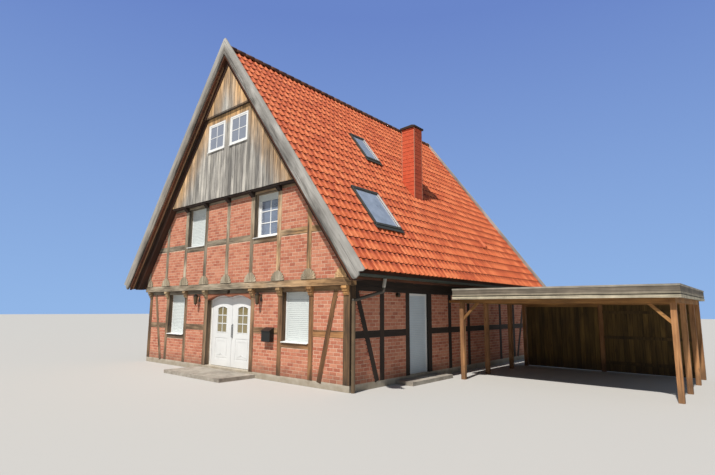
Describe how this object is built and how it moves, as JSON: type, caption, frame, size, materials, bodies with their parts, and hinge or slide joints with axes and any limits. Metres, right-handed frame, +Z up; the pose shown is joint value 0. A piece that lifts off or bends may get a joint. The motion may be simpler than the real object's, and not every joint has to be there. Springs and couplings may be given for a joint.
{
  "type": "half timbered house",
  "caption": "Gabled half-timbered brick house with a jettied front, steep tiled roof, double-arched double door and attached timber carport.",
  "frame": {"origin": "on the ground under the roof ridge, at the middle of the house's depth", "axes": "+X to the right along the gable front, +Y from the front to the rear, +Z up"},
  "size_m": [17.5594, 13.15, 10.8552],
  "materials": {
    "wood_frame": "weathered grey-brown oak",
    "dark_timber": "dark brown stained timber",
    "brick": "salmon red facing brick with light mortar",
    "inner_wall": "plastered block",
    "gable_studs": "studs with plain board lining",
    "gable_board": "silver-grey boards with honey-brown streaks",
    "plinth_render": "off-white render",
    "concrete": "screed",
    "floor_boards": "plain boards",
    "roof_timber": "brown boarding and rafters",
    "roof_tile": "orange-red clay pantiles",
    "barge_wood": "light grey weathered boards",
    "gutter_metal": "dark green-grey, matte",
    "chimney_cladding": "red clay cladding in level courses",
    "cap_metal": "dark, matte",
    "skylight_metal": "dark grey, satin",
    "window_glass": "clear",
    "door_glass": "pale bronze tint",
    "white_frame": "white, smooth",
    "white_door": "white, satin",
    "shutter": "pale grey-blue slats",
    "step_stone": "grey stone",
    "black_metal": "black, satin",
    "carport_timber": "honey-brown softwood",
    "carport_deck": "roof boards and joists",
    "fascia_board": "grey weathered board",
    "gate_boards": "brown vertical boards"
  },
  "bodies": {
    "house": {"front_frame": "wood_frame", "rear_frame": "wood_frame", "corner_posts": "wood_frame", "jetty_beams": "wood_frame", "fan_rosettes": "wood_frame", "knee_corbels": "wood_frame", "door_head": "wood_frame", "side_frames": "dark_timber", "upper_beams": "dark_timber", "front_brickwork": "brick", "rear_brickwork": "brick", "side_brickwork": "brick", "front_wall_left": "inner_wall", "front_wall_right": "inner_wall", "front_wall_head": "inner_wall", "rear_wall": "inner_wall", "left_wall": "inner_wall", "right_wall": "inner_wall", "front_upper_wall": "inner_wall", "rear_upper_wall": "inner_wall", "front_gable_wall": "gable_studs", "rear_gable_wall": "gable_studs", "gable_boards": "gable_board", "plinth": "plinth_render", "floor_slab": "concrete", "upper_floor": "floor_boards", "loft_floor": "floor_boards", "roof_deck_right": "roof_timber", "roof_deck_left": "roof_timber", "wall_rafters": "roof_timber", "roof_tiles_right": "roof_tile", "roof_tiles_left": "roof_tile", "ridge_tiles": "roof_tile", "barge_boards": "barge_wood", "gutters": "gutter_metal", "chimney": "chimney_cladding", "chimney_cap": "cap_metal", "skylights": "skylight_metal", "window_glass": "window_glass", "ground_window_frames": "white_frame", "upper_window_frames": "white_frame", "window_sills": "white_frame", "door_frame": "white_frame", "side_door_frame": "white_frame", "roller_shutters": "shutter", "steps": "step_stone", "wall_lanterns": "black_metal", "letter_box": "black_metal", "carport_posts": "carport_timber", "carport_beams": "carport_timber", "carport_roof": "carport_deck", "carport_fascia": "fascia_board", "carport_boards": "gate_boards"},
    "front_door_left": {"front_door_left": "white_door", "door_glass_left": "door_glass"},
    "front_door_right": {"front_door_right": "white_door", "door_glass_right": "door_glass"},
    "gate_left": {"gate_left": "gate_boards"},
    "gate_right": {"gate_right": "gate_boards"}
  },
  "joints": [
    {"name": "front_door_left_hinge", "type": "hinge", "parent": "house", "child": "front_door_left", "pos_m": [-1.088, -5.405, 1.2], "axis": [0, 0, 1], "range_deg": [0, 90]},
    {"name": "front_door_right_hinge", "type": "hinge", "parent": "house", "child": "front_door_right", "pos_m": [1.088, -5.405, 1.2], "axis": [0, 0, -1], "range_deg": [0, 90]},
    {"name": "gate_left_hinge", "type": "hinge", "parent": "house", "child": "gate_left", "pos_m": [6.098, 3.17, 1.1], "axis": [0, 0, 1], "range_deg": [0, 90]},
    {"name": "gate_right_hinge", "type": "hinge", "parent": "house", "child": "gate_right", "pos_m": [8.552, 3.17, 1.1], "axis": [0, 0, -1], "range_deg": [0, 90]}
  ]
}
